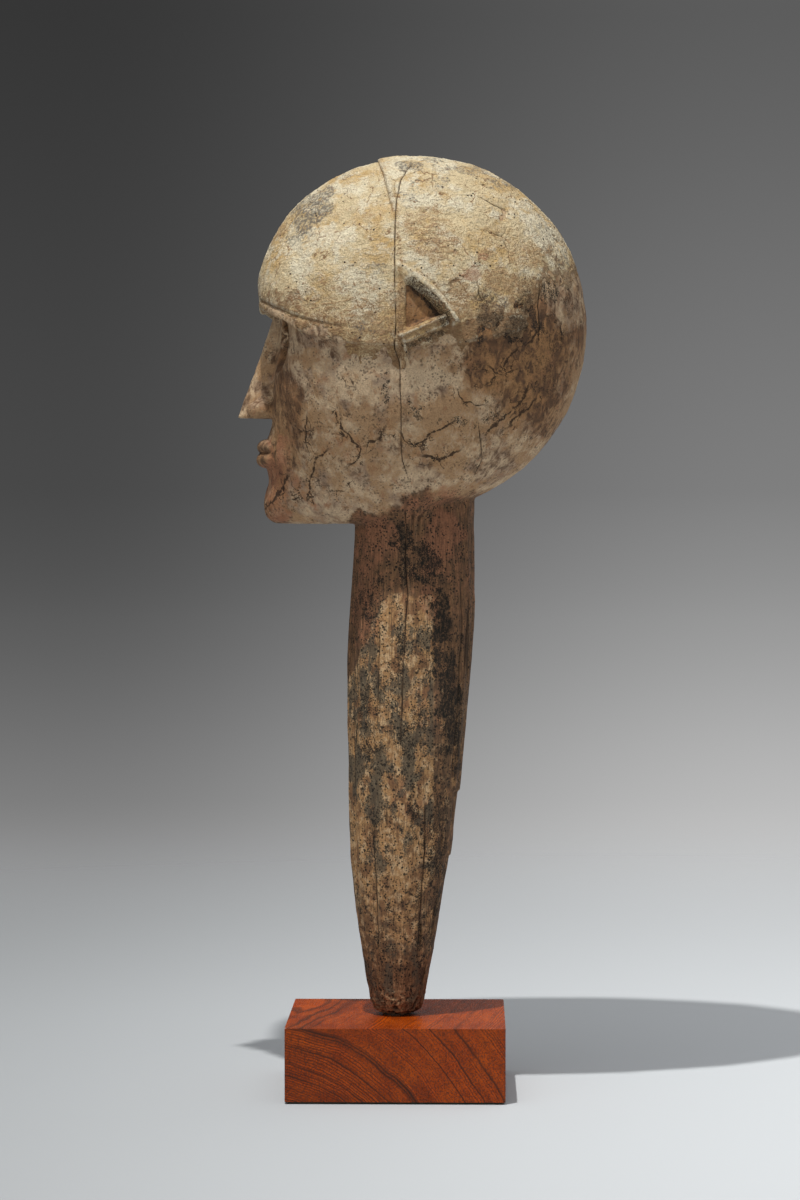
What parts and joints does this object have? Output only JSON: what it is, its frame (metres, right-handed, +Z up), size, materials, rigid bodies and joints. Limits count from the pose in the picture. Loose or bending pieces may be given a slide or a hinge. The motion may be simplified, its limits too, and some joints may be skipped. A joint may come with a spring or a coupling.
{
  "type": "carved ancestor figure",
  "caption": "Carved wooden head on a long tapering adzed post, coated with pale earth, standing on a steel rod in a square hardwood display plinth.",
  "frame": {"origin": "middle of the felt's underside, on the axis of the mount rod", "axes": "+Z up along the mount rod; the carved face looks along -Y; +X is the figure's left side"},
  "size_m": [0.18, 0.2444, 0.6505],
  "materials": {
    "weathered_wood": "matt",
    "kaolin_earth": "matt",
    "plinth_hardwood": "satin",
    "leather": "matt",
    "brass": "satin",
    "steel": "satin",
    "felt": "matt"
  },
  "bodies": {
    "plinth": {"plinth_block": "plinth_hardwood", "mount_rod": "steel", "mount_plate": "steel", "plate_screws": "steel", "base_felt": "felt"},
    "washer": {"foot_washer": "leather"},
    "figure": {"carved_figure": "weathered_wood", "kaolin_coat": "kaolin_earth", "rod_sleeve": "brass"}
  },
  "joints": [
    {"name": "figure_turn", "type": "hinge", "parent": "plinth", "child": "washer", "pos_m": [0, 0, 0.0515], "axis": [0, 0, 1], "continuous": true},
    {"name": "figure_lift", "type": "slide", "parent": "washer", "child": "figure", "axis": [0, 0, 1], "range_m": [0, 0.09]}
  ]
}
